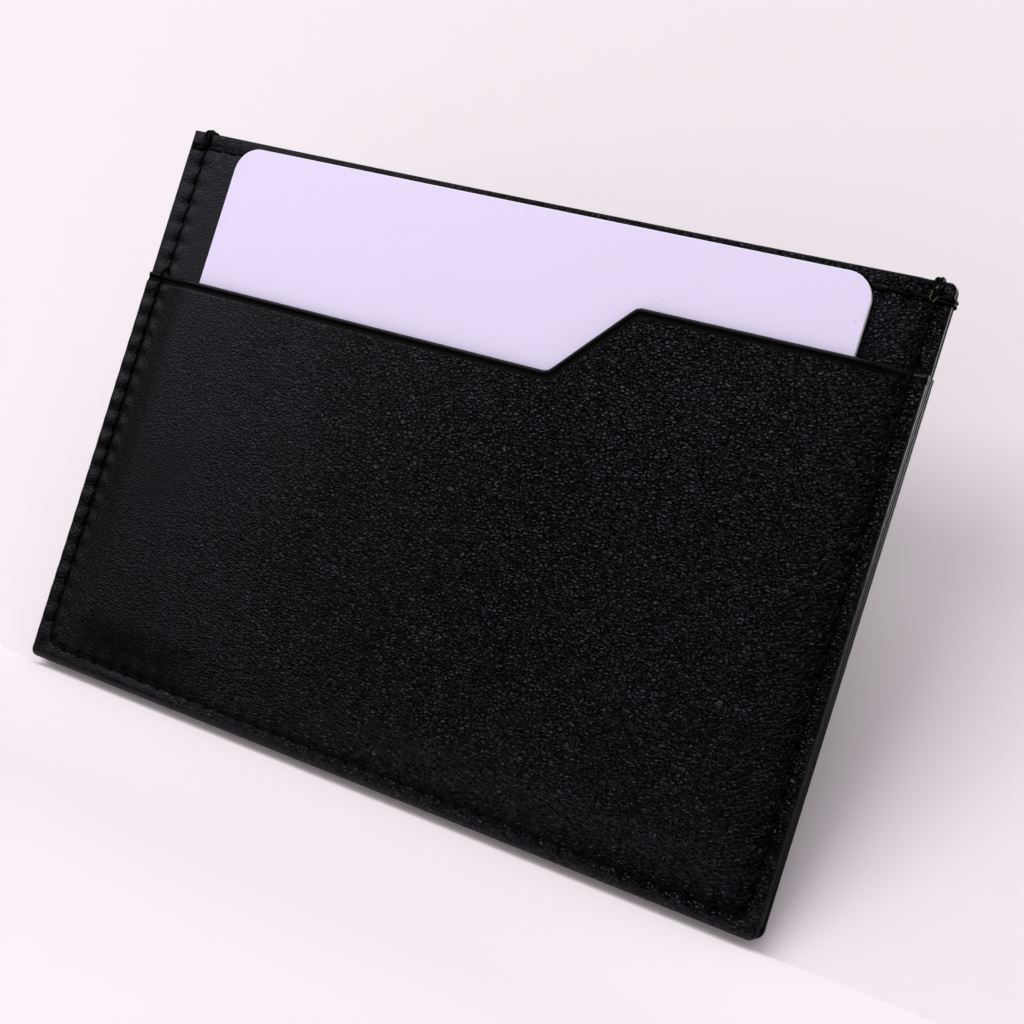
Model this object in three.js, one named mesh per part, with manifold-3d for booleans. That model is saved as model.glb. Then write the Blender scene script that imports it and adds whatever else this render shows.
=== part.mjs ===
// A flat leather card holder: one outer leather folded round the bottom edge makes a front and a rear
// pocket with stepped mouths, two lined dividers stand between them with a centre slot, and a blank
// card sits in the front pocket. X is the width, +Z the way the pockets open, and the front faces -Y.
// Millimetres.
import * as THREE from 'three';
import { mergeVertices } from 'three/addons/utils/BufferGeometryUtils.js';
import Module from 'manifold-3d';

const wasm = await Module();
wasm.setup();

// ---- The card ----
const cardWidth = 85.6;
const cardHeight = 53.98;
const cardThickness = 0.76;
const cardCorner = 3.18;
const cardPlay = 0.05; // clearance on each face of the card
const cardBelowTop = 1.05; // how far the card's top edge sits below the holder's

// ---- The holder ----
const sideRoom = 8.2; // from the card's side to the holder's side
const width = cardWidth + 2 * sideRoom;
const height = 72;
const cornerRadius = 1.5;
const leastCorner = 0.1; // corners of the inner sheets are never sharper than this
const foldRadius = 1.0; // outside of the fold along the bottom

// ---- Sheets, from the mid-plane outwards ----
const slotGap = 0.06; // the empty centre slot, lining to lining
const dividerLining = 0.12;
const pocketLining = 0.12;
const outerLeather = 0.75;
const glue = 0.02; // between sheets that are stuck together

// ---- The stepped pocket mouth, the same for both pockets, seen from the front ----
const lowMouth = 52.45; // height of the mouth on the left
const highMouth = 61.9; // height of the mouth on the right
const stepStart = 9.0; // where the slanted step leaves the low mouth
const stepRun = 8.45;
const stepRound = 1.2; // rounding of the step's two corners
const liningInset = 0.6; // the pocket linings stop this far below the mouth

// ---- The front pocket's swell over the card ----
const flatMargin = 3.2; // stays flat beside and below the seam
const sideRamp = 4.4;
const bottomRamp = 1.4;
const swellOverlap = 0.1; // the swell's block reaches this far into the sheet that it stands on

// ---- Stitching ----
const seamInset = 1.95; // side seams, from the side edges
const bottomSeam = 2.2; // bottom seam, from the bottom edge
const topSeam = 1.9; // topstitch rows, from the top edge
const seamTurn = 2.0; // radius where the seam turns the corner
const stitchLength = 2.6;
const threadRadius = 0.2;
const threadSides = 6;
const threadLift = 0.05; // clearance between a thread's end loop and the edge it passes over
const channelRoom = 0.04; // a thread lies sunk in a channel, this far below the leather's face
const channelSide = 0.15; // and with this much on each side
const stitchDip = 0.06; // how far it dips at its holes
const channelFloor = 0.06; // divider leather left under a channel
const loopGap = 0.3; // between the ends of the front and rear threads

// ---- Worked out ----
const channelDepth = 2 * threadRadius + 2 * channelRoom + stitchDip;
const halfChannel = threadRadius + channelSide;
const dividerLeather = channelDepth + channelFloor;
const dividerLiningIn = slotGap / 2;
const dividerLeatherIn = dividerLiningIn + dividerLining + glue;
const dividerFace = dividerLeatherIn + dividerLeather;
const pocketLiningIn = dividerFace + glue;
const outerLeatherIn = pocketLiningIn + pocketLining + glue;
const outerFace = outerLeatherIn + outerLeather;
const innerBottom = outerLeather + glue; // where the inner sheets stand on the fold
const innerCorner = Math.max(cornerRadius - innerBottom, leastCorner);
const swell = cardThickness + 2 * cardPlay; // height of the front pocket's swell
const frontReach = outerFace + swell;
const rearReach = outerFace;
const halfWidth = width / 2;
const seamX = halfWidth - seamInset;

const leather = new THREE.MeshStandardMaterial({ color: 0x17161a, roughness: 0.5, metalness: 0 });
const lining = new THREE.MeshStandardMaterial({ color: 0x141316, roughness: 0.85, metalness: 0 });
const thread = new THREE.MeshStandardMaterial({ color: 0x1b1a1f, roughness: 0.6, metalness: 0 });
const plastic = new THREE.MeshStandardMaterial({ color: 0xe3d9f1, roughness: 0.35, metalness: 0 });

const group = new THREE.Group();
// The sheets are laid out from the mid-plane, and the whole is centred on its own depth.
group.position.y = (frontReach - rearReach) / 2;

function addMesh(name, geometry, material) {
  const mesh = new THREE.Mesh(geometry, material);
  mesh.name = name;
  group.add(mesh);
}

function toSolid(geometry) {
  const bare = geometry.clone();
  bare.deleteAttribute('normal');
  bare.deleteAttribute('uv');
  const merged = mergeVertices(bare, 1e-5);
  const vertProperties = new Float32Array(merged.attributes.position.array);
  const triVerts = Uint32Array.from(merged.index.array);
  return new wasm.Manifold(new wasm.Mesh({ numProp: 3, vertProperties, triVerts }));
}

function toGeometry(solid) {
  const mesh = solid.getMesh();
  const geometry = new THREE.BufferGeometry();
  geometry.setAttribute('position', new THREE.BufferAttribute(new Float32Array(mesh.vertProperties), 3));
  geometry.setIndex(new THREE.BufferAttribute(new Uint32Array(mesh.triVerts), 1));
  geometry.computeVertexNormals();
  return geometry;
}

// An outline drawn in X and Z becomes a sheet between two distances from the mid-plane.
// side is 1 for the front and -1 for the rear.
function sheet(shape, inner, outer, side) {
  const depth = outer - inner;
  const geometry = new THREE.ExtrudeGeometry(shape, { depth, bevelEnabled: false, curveSegments: 5 });
  geometry.rotateX(Math.PI / 2);
  geometry.translate(0, side > 0 ? -inner : outer, 0);
  return geometry;
}

// A section drawn in Y and Z, run along the whole width.
function alongWidth(shape) {
  const settings = { depth: width, bevelEnabled: false, curveSegments: 5 };
  const geometry = new THREE.ExtrudeGeometry(shape, settings);
  const axes = new THREE.Matrix4().makeBasis(
    new THREE.Vector3(0, 1, 0),
    new THREE.Vector3(0, 0, 1),
    new THREE.Vector3(1, 0, 0),
  );
  geometry.applyMatrix4(axes);
  geometry.translate(-halfWidth, 0, 0);
  return geometry;
}

// A section drawn in X and Y, run up from the bottom past the top.
function alongHeight(shape) {
  return new THREE.ExtrudeGeometry(shape, { depth: height + cornerRadius, bevelEnabled: false });
}

function polygon(points) {
  return new THREE.Shape(points.map(([a, b]) => new THREE.Vector2(a, b)));
}

// The outline of a divider, with its four corners rounded.
function dividerOutline() {
  const cornerX = halfWidth - innerCorner;
  const cornerZ = innerBottom + innerCorner;
  const shape = new THREE.Shape();
  shape.moveTo(-cornerX, innerBottom);
  shape.lineTo(cornerX, innerBottom);
  shape.absarc(cornerX, cornerZ, innerCorner, -Math.PI / 2, 0);
  shape.lineTo(halfWidth, height - cornerRadius);
  shape.absarc(halfWidth - cornerRadius, height - cornerRadius, cornerRadius, 0, Math.PI / 2);
  shape.lineTo(-halfWidth + cornerRadius, height);
  shape.absarc(-halfWidth + cornerRadius, height - cornerRadius, cornerRadius, Math.PI / 2, Math.PI);
  shape.lineTo(-halfWidth, cornerZ);
  shape.absarc(-cornerX, cornerZ, innerCorner, Math.PI, 1.5 * Math.PI);
  return shape;
}

// The outline of a pocket with its stepped mouth. inset lowers the mouth, and bottom is its lowest edge.
// Both pockets are cut alike through the folded leather, so both are low on the left of the front.
function pocketOutline(bottom, bottomRadius, inset) {
  const low = lowMouth - inset;
  const high = highMouth - inset;
  const slope = Math.atan2(highMouth - lowMouth, stepRun);
  const cut = stepRound * Math.tan(slope / 2);
  const along = [cut * Math.cos(slope), cut * Math.sin(slope)];
  const foot = stepStart;
  const head = stepStart + stepRun;
  const shape = new THREE.Shape();
  shape.moveTo(-halfWidth + bottomRadius, bottom);
  shape.lineTo(halfWidth - bottomRadius, bottom);
  shape.quadraticCurveTo(halfWidth, bottom, halfWidth, bottom + bottomRadius);
  shape.lineTo(halfWidth, high);
  shape.lineTo(head + cut, high);
  shape.quadraticCurveTo(head, high, head - along[0], high - along[1]);
  shape.lineTo(foot + along[0], low + along[1]);
  shape.quadraticCurveTo(foot, low, foot - cut, low);
  shape.lineTo(-halfWidth, low);
  shape.lineTo(-halfWidth, bottom + bottomRadius);
  shape.quadraticCurveTo(-halfWidth, bottom, -halfWidth + bottomRadius, bottom);
  return shape;
}

// The swell over the card, standing on a given distance from the mid-plane: ramps up from both side
// margins and from the bottom margin, and runs out at the mouth.
function swellBlock(level) {
  const base = halfWidth - flatMargin;
  const plateau = base - sideRamp;
  const root = level - swellOverlap;
  const across = polygon([
    [-base, -level],
    [-plateau, -(level + swell)],
    [plateau, -(level + swell)],
    [base, -level],
    [base, -root],
    [-base, -root],
  ]);
  const past = height + cornerRadius;
  const up = polygon([
    [-level, flatMargin],
    [-root, flatMargin],
    [-root, past],
    [-(level + swell), past],
    [-(level + swell), flatMargin + bottomRamp],
  ]);
  return toSolid(alongHeight(across)).intersect(toSolid(alongWidth(up)));
}

// The folded section of the outer leather, with a round fold along the bottom.
function foldSection() {
  const shape = new THREE.Shape();
  shape.moveTo(-outerFace + foldRadius, 0);
  shape.lineTo(outerFace - foldRadius, 0);
  shape.absarc(outerFace - foldRadius, foldRadius, foldRadius, -Math.PI / 2, 0);
  shape.lineTo(outerFace, height);
  shape.lineTo(outerLeatherIn, height);
  shape.lineTo(outerLeatherIn, outerLeather);
  shape.lineTo(-outerLeatherIn, outerLeather);
  shape.lineTo(-outerLeatherIn, height);
  shape.lineTo(-outerFace, height);
  shape.lineTo(-outerFace, foldRadius);
  shape.absarc(-outerFace + foldRadius, foldRadius, foldRadius, Math.PI, 1.5 * Math.PI);
  return shape;
}

// The channel of the side and bottom seam, cut into a face at a given distance from the mid-plane.
function seamChannel(face, side) {
  const centreX = seamX - seamTurn;
  const centreZ = bottomSeam + seamTurn;
  const far = seamTurn + halfChannel;
  const near = seamTurn - halfChannel;
  const past = height + cornerRadius;
  const shape = new THREE.Shape();
  shape.moveTo(-centreX - far, past);
  shape.lineTo(-centreX - far, centreZ);
  shape.absarc(-centreX, centreZ, far, Math.PI, 1.5 * Math.PI);
  shape.absarc(centreX, centreZ, far, -Math.PI / 2, 0);
  shape.lineTo(centreX + far, past);
  shape.lineTo(centreX + near, past);
  shape.lineTo(centreX + near, centreZ);
  shape.absarc(centreX, centreZ, near, 0, -Math.PI / 2, true);
  shape.absarc(-centreX, centreZ, near, 1.5 * Math.PI, Math.PI, true);
  shape.lineTo(-centreX - near, past);
  return toSolid(sheet(shape, face - channelDepth, face + channelDepth, side));
}

function outerLeatherPiece() {
  const reach = outerFace + swell + cornerRadius;
  const across = -dividerLeatherIn; // each trim passes the mid-plane, so the two join in the fold
  const outline = pocketOutline(0, cornerRadius, 0);
  const frontTrim = toSolid(sheet(outline, across, reach, 1));
  const rearTrim = toSolid(sheet(outline, across, reach, -1));
  const folded = toSolid(alongWidth(foldSection())).add(swellBlock(outerFace));
  const trimmed = folded.intersect(frontTrim.add(rearTrim)).subtract(swellBlock(outerLeatherIn));
  return trimmed.subtract(seamChannel(outerFace, 1)).subtract(seamChannel(outerFace, -1));
}

function frontPocketLiningPiece() {
  const face = pocketLiningIn + pocketLining;
  const outline = pocketOutline(innerBottom, innerCorner, liningInset);
  const flat = toSolid(sheet(outline, pocketLiningIn, face, 1));
  const trim = toSolid(sheet(outline, 0, face + swell + cornerRadius, 1));
  return flat.add(swellBlock(face).intersect(trim)).subtract(swellBlock(pocketLiningIn));
}

// ---- Threads ----

// Where a side seam's thread steps over a pocket's mouth, clear of its edge.
function mouthStep(x) {
  return (x < 0 ? lowMouth : highMouth) + 2 * threadRadius;
}

// The visible leather's distance from the mid-plane at a point of the side and bottom seam.
function seamFace(x, z) {
  return z < mouthStep(x) ? outerFace : dividerFace;
}

// A route with one step for each stretch between two of its points.
class Route extends THREE.Curve {
  constructor(points) {
    super();
    this.points = points;
  }

  getPoint(t, target = new THREE.Vector3()) {
    const last = this.points.length - 1;
    const place = THREE.MathUtils.clamp(t, 0, 1) * last;
    const index = Math.min(Math.floor(place), last - 1);
    return target.lerpVectors(this.points[index], this.points[index + 1], place - index);
  }

  getUtoTmapping(u) {
    return u;
  }
}

function threadAlong(points) {
  const section = new THREE.Shape();
  for (let i = 0; i < threadSides; i += 1) {
    const angle = (2 * Math.PI * i) / threadSides;
    const x = threadRadius * Math.cos(angle);
    const y = threadRadius * Math.sin(angle);
    if (i === 0) {
      section.moveTo(x, y);
    } else {
      section.lineTo(x, y);
    }
  }
  const extrudePath = new Route(points);
  const steps = points.length - 1;
  return new THREE.ExtrudeGeometry(section, { steps, extrudePath, bevelEnabled: false });
}

// A stitched run along a plan path drawn in X and Z, with one hole every stitch length. The thread lies
// in the channel of the leather face that is there, and dips at its holes.
function stitches(path, side, faceAt) {
  const count = Math.round(path.getLength() / stitchLength);
  return path.getSpacedPoints(2 * count).map((p, i) => {
    const dip = i % 2 === 0 ? stitchDip : 0;
    return new THREE.Vector3(p.x, -side * (inChannel(faceAt(p)) - dip), p.y);
  });
}

function inChannel(face) {
  return face - channelRoom - threadRadius;
}

// The two points where a side seam's thread goes from the divider to the pocket's mouth.
function stepDown(x, side) {
  const z = mouthStep(x);
  return [
    new THREE.Vector3(x, -side * inChannel(dividerFace), z),
    new THREE.Vector3(x, -side * inChannel(outerFace), z),
  ];
}

// The seam down one side, along the bottom and up the other. Both ends loop over the top edge.
function perimeterThread(side) {
  const path = new THREE.Path();
  path.moveTo(-seamX, height - topSeam);
  path.lineTo(-seamX, bottomSeam + seamTurn);
  path.absarc(-seamX + seamTurn, bottomSeam + seamTurn, seamTurn, Math.PI, 1.5 * Math.PI);
  path.lineTo(seamX - seamTurn, bottomSeam);
  path.absarc(seamX - seamTurn, bottomSeam + seamTurn, seamTurn, -Math.PI / 2, 0);
  path.lineTo(seamX, height - topSeam);
  const overEdge = height + threadLift + threadRadius;
  const level = inChannel(dividerFace);
  const end = (sign) => [
    new THREE.Vector3(sign * seamX, -side * level, overEdge),
    new THREE.Vector3(sign * seamX, (-side * loopGap) / 2, overEdge),
  ];
  const run = stitches(path, side, (p) => seamFace(p.x, p.y));
  const left = run.findIndex((p) => p.z < mouthStep(p.x));
  run.splice(left, 0, ...stepDown(-seamX, side));
  const right = run.findIndex((p, i) => i > left + 2 && p.z >= mouthStep(p.x));
  run.splice(right, 0, ...stepDown(seamX, side).reverse());
  return threadAlong([...end(-1).reverse(), ...run, ...end(1)]);
}

// The topstitch row under a divider's top edge, between the side seams. It starts and ends one stitch
// inside them.
function topThread(side) {
  const z = height - topSeam;
  const path = new THREE.Path();
  path.moveTo(-seamX + stitchLength, z);
  path.lineTo(seamX - stitchLength, z);
  return threadAlong(stitches(path, side, () => dividerFace));
}

// The loop of thread round a side edge where a topstitch row ends, through the first hole of the row.
function sideLoop(sign) {
  const z = height - topSeam;
  const pastEdge = sign * (halfWidth + threadLift + threadRadius);
  const inner = sign * (seamX + stitchLength / 4);
  const level = dividerFace + threadLift + threadRadius;
  return threadAlong([
    new THREE.Vector3(inner, -level, z),
    new THREE.Vector3(pastEdge, -level, z),
    new THREE.Vector3(pastEdge, level, z),
    new THREE.Vector3(inner, level, z),
  ]);
}

// A divider's leather, with the channels of its topstitch row and of the side seams above the pockets.
function dividerLeatherPiece(side) {
  const z = height - topSeam;
  const row = new THREE.Shape();
  row.moveTo(-seamX, z - halfChannel);
  row.lineTo(seamX, z - halfChannel);
  row.lineTo(seamX, z + halfChannel);
  row.lineTo(-seamX, z + halfChannel);
  const rowChannel = toSolid(sheet(row, dividerFace - channelDepth, dividerFace + channelDepth, side));
  const covered = polygon([
    [-width, -height],
    [width, -height],
    [width, lowMouth - liningInset],
    [-width, lowMouth - liningInset],
  ]);
  const pocketZone = toSolid(sheet(covered, 0, dividerFace + outerFace, side));
  const sideChannels = seamChannel(dividerFace, side).subtract(pocketZone);
  const whole = toSolid(sheet(dividerOutline(), dividerLeatherIn, dividerFace, side));
  return whole.subtract(rowChannel).subtract(sideChannels);
}

// ---- The card ----
function cardPiece() {
  const top = height - cardBelowTop;
  const left = -cardWidth / 2;
  const bottom = top - cardHeight;
  const r = cardCorner;
  const shape = new THREE.Shape();
  shape.absarc(-left - r, bottom + r, r, -Math.PI / 2, 0);
  shape.absarc(-left - r, top - r, r, 0, Math.PI / 2);
  shape.absarc(left + r, top - r, r, Math.PI / 2, Math.PI);
  shape.absarc(left + r, bottom + r, r, Math.PI, 1.5 * Math.PI);
  const near = dividerFace + cardPlay;
  return sheet(shape, near, near + cardThickness, 1);
}

addMesh('outer_leather', toGeometry(outerLeatherPiece()), leather);
addMesh('front_pocket_lining', toGeometry(frontPocketLiningPiece()), lining);
const rearOutline = pocketOutline(innerBottom, innerCorner, liningInset);
const liningFace = pocketLiningIn + pocketLining;
addMesh('rear_pocket_lining', sheet(rearOutline, pocketLiningIn, liningFace, -1), lining);

for (const [place, side] of [['front', 1], ['rear', -1]]) {
  const outline = dividerOutline();
  const liningOut = dividerLiningIn + dividerLining;
  addMesh(`${place}_divider_leather`, toGeometry(dividerLeatherPiece(side)), leather);
  addMesh(`${place}_divider_lining`, sheet(outline, dividerLiningIn, liningOut, side), lining);
  addMesh(`${place}_seam_thread`, perimeterThread(side), thread);
  addMesh(`${place}_top_thread`, topThread(side), thread);
}

addMesh('left_side_loop', sideLoop(-1), thread);
addMesh('right_side_loop', sideLoop(1), thread);
addMesh('card', cardPiece(), plastic);

export default group;
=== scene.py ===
import math

import bmesh
import bpy
import numpy as np
from bpy.props import FloatProperty, FloatVectorProperty, PointerProperty
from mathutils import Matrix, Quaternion, Vector


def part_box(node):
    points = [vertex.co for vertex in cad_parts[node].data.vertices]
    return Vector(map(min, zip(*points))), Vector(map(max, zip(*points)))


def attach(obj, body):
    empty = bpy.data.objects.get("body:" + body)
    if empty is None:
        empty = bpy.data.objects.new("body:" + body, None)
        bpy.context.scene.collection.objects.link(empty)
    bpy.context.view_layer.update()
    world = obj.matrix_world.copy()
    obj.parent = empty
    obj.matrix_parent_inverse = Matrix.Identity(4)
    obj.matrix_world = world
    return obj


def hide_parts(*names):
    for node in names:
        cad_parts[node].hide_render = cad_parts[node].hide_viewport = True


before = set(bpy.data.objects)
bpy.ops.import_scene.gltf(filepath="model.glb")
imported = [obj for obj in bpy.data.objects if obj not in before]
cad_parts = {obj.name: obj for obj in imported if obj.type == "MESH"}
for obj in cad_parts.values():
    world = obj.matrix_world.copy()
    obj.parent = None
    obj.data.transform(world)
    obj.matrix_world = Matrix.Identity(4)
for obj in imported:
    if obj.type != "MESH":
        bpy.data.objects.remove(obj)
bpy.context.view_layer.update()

bl_info = {
    "name": "Leather card holder",
    "version": (1, 0, 0),
    "blender": (4, 5, 0),
    "location": "3D View > Sidebar > Card holder",
    "description": "Builds a stitched leather card holder with a blank card on its packed frame",
    "category": "Object",
}

MM = 0.001
HOLDER = "holder"


# ---- Places taken from the frame ----

def node_box(node):
    low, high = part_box(node)
    return Vector(low), Vector(high)


OUTER_LOW, OUTER_HIGH = node_box("outer_leather")
DIVIDER_LOW, DIVIDER_HIGH = node_box("front_divider_leather")
CARD_LOW, CARD_HIGH = node_box("card")
LINING_LOW, LINING_HIGH = node_box("rear_pocket_lining")
SLOT_FRONT = node_box("front_divider_lining")[1].y
SLOT_REAR = node_box("rear_divider_lining")[0].y

HALF_WIDTH = OUTER_HIGH.x
HEIGHT = DIVIDER_HIGH.z
HIGH_MOUTH = OUTER_HIGH.z - 0.12 * MM    # the painted bead rounds over just below the top
TOP_EDGE = HEIGHT + 0.13 * MM            # soft leather stands a little proud between its stitches
INNER_FOOT = DIVIDER_LOW.z
MID = (SLOT_FRONT + SLOT_REAR) / 2
OUTER_FACE = OUTER_HIGH.y - MID          # leather face of a pocket, from the mid-plane
DIVIDER_FACE = MID - DIVIDER_LOW.y
DIVIDER_BACK = MID - DIVIDER_HIGH.y
LINING_BACK = LINING_LOW.y - MID
LINING_FACE = LINING_HIGH.y - MID
FOLD = 1.1 * MM                          # radius of the fold, outside
SWELL = MID - OUTER_LOW.y - OUTER_FACE   # how far the front pocket swells over the card
FOLD_ROOM = 0.02 * MM                    # clearance between the fold and the sheets inside it
INNER_FOLD = 0.35 * MM                   # radius of the fold, inside
FINE_GRAIN_END = -35 * MM                # left of this the hide is fine and flat
COARSE_GRAIN_START = 13 * MM             # right of this it is at its coarsest
FLOOR_TONE = 0.99                        # tone of the floor's paper, as a share of the floor colour
SWEEP_SHADE_TONE = 0.82                        # painted shade: tone of the rising paper, likewise, kept darker than the floor's to offset the light it gets
PAPER_REACH = 3.0                        # how far the paper runs to each side, in metres


# ---- What a user would change ----

def length(name, description, default, low=0.0, high=0.2):
    return FloatProperty(
        name=name, description=description, default=default, min=low, max=high,
        unit="LENGTH", precision=5,
    )


def colour(name, description, default):
    return FloatVectorProperty(
        name=name, description=description, default=default, size=4, min=0.0, max=1.0,
        subtype="COLOR",
    )


class HolderSizes(bpy.types.PropertyGroup):
    """Sizes of the leather, the stitching and the card."""

    low_mouth: length("Low mouth", "Height of the pocket mouth on the left", 52.45 * MM)
    step_start: length("Step start", "Where the slanted step leaves the low mouth", 9.0 * MM)
    step_run: length("Step run", "Width of the slanted step", 8.45 * MM)
    step_round: length("Step rounding", "Radius of the step's two corners", 1.3 * MM)
    sharp_corner: length("Left corners", "Rounding of the holder's left corners", 0.15 * MM)
    worn_corner: length("Right corners", "Rounding of the holder's right corners", 0.95 * MM)
    flare: length("Flare", "How much wider the holder is at its top than at its bottom", 0.48 * MM)
    overhang: length("Divider overhang", "How far the dividers stand past the pockets on the left", 0.36 * MM)
    bead: length("Mouth bead", "Width of the painted bead along a pocket's mouth", 0.5 * MM)
    groove: length("Mouth groove", "Width of the pressed groove below the bead", 0.65 * MM)
    groove_depth: length("Groove depth", "Depth of the pressed groove", 0.15 * MM)
    edge_round: length("Edge rounding", "How far in a cut edge starts to round over", 0.3 * MM)
    flat_margin: length("Flat margin", "Edge strip that stays flat beside the card", 2.6 * MM)
    side_ramp: length("Side ramp", "Width of the swell's slope at the card's sides", 5.4 * MM)
    bottom_margin: length("Bottom margin", "Strip that stays flat along the bottom", 1.5 * MM)
    bottom_ramp: length("Bottom ramp", "Width of the swell's slope below the card", 7.0 * MM)
    seam_inset: length("Seam inset", "Side seams, from the side edges", 1.95 * MM)
    bottom_seam: length("Bottom seam", "Bottom seam, from the bottom edge", 2.2 * MM)
    top_seam: length("Top row", "Topstitch rows, from the top edge", 1.9 * MM)
    seam_turn: length("Seam turn", "Radius where the seam turns a corner", 2.0 * MM)
    stitch: length("Stitch length", "From one needle hole to the next", 2.6 * MM)
    thread: length("Thread radius", "Radius of the twisted thread", 0.25 * MM)
    pucker: length("Pucker", "How far the thread pulls the leather in at a hole", 0.36 * MM)
    sag: length("Top edge sag", "How far the top edge dips between its corners", 0.17 * MM)
    grain: length("Grain", "Width of one pebble of the leather's grain", 0.48 * MM)
    card_corner: length("Card corner", "Corner radius of the card", 3.18 * MM)


class HolderColours(bpy.types.PropertyGroup):
    """Colours of the leather, the thread and the card."""

    leather: colour("Leather", "Tops of the grain", (0.0013, 0.00125, 0.0021, 1.0))
    # Painted shade: the grain's valleys are painted darker than the pebble tops.
    painted_valley_shade: colour("Grain valleys", "Between the pebbles", (0.0004, 0.0004, 0.0007, 1.0))
    paint: colour("Edge paint", "Painted cut edges", (0.0032, 0.0031, 0.0042, 1.0))
    lining: colour("Lining", "Smooth lining leather", (0.009, 0.0088, 0.0105, 1.0))
    thread: colour("Thread", "Waxed thread", (0.0007, 0.0007, 0.001, 1.0))
    fibre: colour("Broken fibre", "Undyed core of the thread", (0.30, 0.27, 0.15, 1.0))
    card: colour("Card", "Faces of the card", (0.640, 0.580, 0.770, 1.0))
    # Painted highlight: the card's rim is painted near white, brighter than its faces.
    core: colour("Card core", "Edge of the card", (0.93, 0.91, 0.97, 1.0))
    floor: colour("Floor", "Paper that the holder stands on", (0.875, 0.815, 0.85, 1.0))


def sizes():
    return bpy.context.scene.card_holder_sizes


def colours():
    return bpy.context.scene.card_holder_colours


# ---- Shape of the leather ----

def smooth_step(low, high, value):
    t = np.clip((value - low) / (high - low), 0.0, 1.0)
    return t * t * (3 - 2 * t)


def spread(start, end, fine, coarse, reach):
    """Places from start to end, close together near both ends and wider apart between them."""
    edge = np.array([0.0, 0.04, 0.1, 0.18, 0.3, 0.45]) * MM
    near = np.append(edge, np.arange(0.45 * MM + fine, reach, fine))
    count = max(int(round((end - start - 2 * reach) / coarse)), 2)
    middle = np.linspace(start + reach, end - reach, count + 1)
    return np.concatenate([start + near, middle, (end - near)[::-1]])


def mouth_line(along):
    """Heights of a pocket's mouth at the given places across, and the way into the leather there."""
    s = sizes()
    rise = HIGH_MOUTH - s.low_mouth
    slope = math.atan2(rise, s.step_run)
    cut = s.step_round * math.tan(slope / 2)
    foot, head = s.step_start, s.step_start + s.step_run
    straight = np.clip((along - foot) / s.step_run, 0, 1) * rise
    z = s.low_mouth + straight
    # Round both corners of the step with arcs that touch the straight runs.
    low_arc = np.abs(along - foot) < cut
    centre = foot - cut
    inside = np.clip(along - centre, 0, None)
    radius = s.step_round
    arc_z = s.low_mouth + radius - np.sqrt(np.clip(radius**2 - inside**2, 0, None))
    z = np.where(low_arc & (inside < radius * math.sin(slope)), arc_z, z)
    centre = head + cut
    inside = np.clip(centre - along, 0, None)
    arc_z = HIGH_MOUTH - radius + np.sqrt(np.clip(radius**2 - inside**2, 0, None))
    high_arc = np.abs(along - head) < cut
    z = np.where(high_arc & (inside < radius * math.sin(slope)), arc_z, z)
    tangent = np.gradient(z, along)
    into = np.stack([tangent, -np.ones_like(tangent)], axis=-1)
    into /= np.linalg.norm(into, axis=-1, keepdims=True)
    return z, into


def seam_place(x, z):
    """Distance from the side and bottom seam, and the way along it, in stitches."""
    s = sizes()
    seam_x = HALF_WIDTH - s.seam_inset
    centre_x = seam_x - s.seam_turn
    centre_z = s.bottom_seam + s.seam_turn
    top = HEIGHT - s.top_seam
    side_run = top - centre_z
    arc = math.pi / 2 * s.seam_turn
    total = 2 * (side_run + arc + centre_x)
    out_x = np.abs(x) - centre_x
    out_z = centre_z - z
    corner = (out_x > 0) & (out_z > 0)
    beside = (out_z <= 0) & (out_x > centre_x * -0.5)
    distance = np.where(
        corner,
        np.abs(np.hypot(out_x, out_z) - s.seam_turn),
        np.where(beside, np.abs(np.abs(x) - seam_x), np.abs(z - s.bottom_seam)),
    )
    angle = np.arctan2(np.clip(out_z, 0, None), np.clip(out_x, 1e-9, None))
    from_top = np.where(
        corner,
        side_run + s.seam_turn * angle,
        np.where(beside, top - z, side_run + arc + centre_x - np.abs(x)),
    )
    run = np.where(x < 0, from_top, total - from_top)
    count = round(total / s.stitch)
    return distance, run * count / total


def pulled_in(x, distance, stitches):
    """How far a row of stitches pulls the leather in: a valley along the row, deepest at the needle
    holes, with low pillows beside it between them. The right side is pulled harder."""
    s = sizes()
    hard = 1 + 0.45 * smooth_step(0, 40 * MM, x)
    wave = np.cos(2 * math.pi * stitches)
    hole = np.exp(-((distance / (0.45 * MM)) ** 2)) * (0.5 + 0.5 * wave)
    valley = np.exp(-((distance / (0.62 * MM * hard)) ** 2)) * 0.62
    pillow = np.exp(-(((distance - 1.0 * MM) / (0.7 * MM)) ** 2)) * wave * 0.4
    return s.pucker * hard * (hole * 0.45 + valley + pillow)


def seam_relief(x, z):
    distance, stitches = seam_place(x, z)
    return pulled_in(x, distance, stitches)


def row_relief(x, z):
    """The topstitch row's own puckers."""
    s = sizes()
    seam_x = HALF_WIDTH - s.seam_inset
    count = round(2 * seam_x / s.stitch)
    stitches = (x + seam_x) * count / (2 * seam_x)
    distance = np.abs(z - (HEIGHT - s.top_seam)) + np.clip(np.abs(x) - seam_x, 0, None)
    return pulled_in(x, distance, stitches)


def undulation(x, z, phase):
    """Slow waves of soft leather, a fraction of a millimetre high."""
    waves = (
        (0.055, 61.0, 38.0, 0.4), (0.045, -83.0, 97.0, 1.9), (0.03, 171.0, -64.0, 3.1),
        (0.02, 240.0, 205.0, 5.2), (0.012, -310.0, 420.0, 0.9),
    )
    total = np.zeros_like(x)
    for height, kx, kz, shift in waves:
        total += height * MM * np.sin(kx * x + kz * z + shift + phase)
    return total


def swell_over_card(x, z):
    """How far the leather stands out over the card. It eases off gently below the card."""
    s = sizes()
    across = smooth_step(s.flat_margin, s.flat_margin + s.side_ramp, HALF_WIDTH - np.abs(x))
    up = smooth_step(s.bottom_margin, s.bottom_margin + s.bottom_ramp, z)
    return SWELL * across * up


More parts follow.
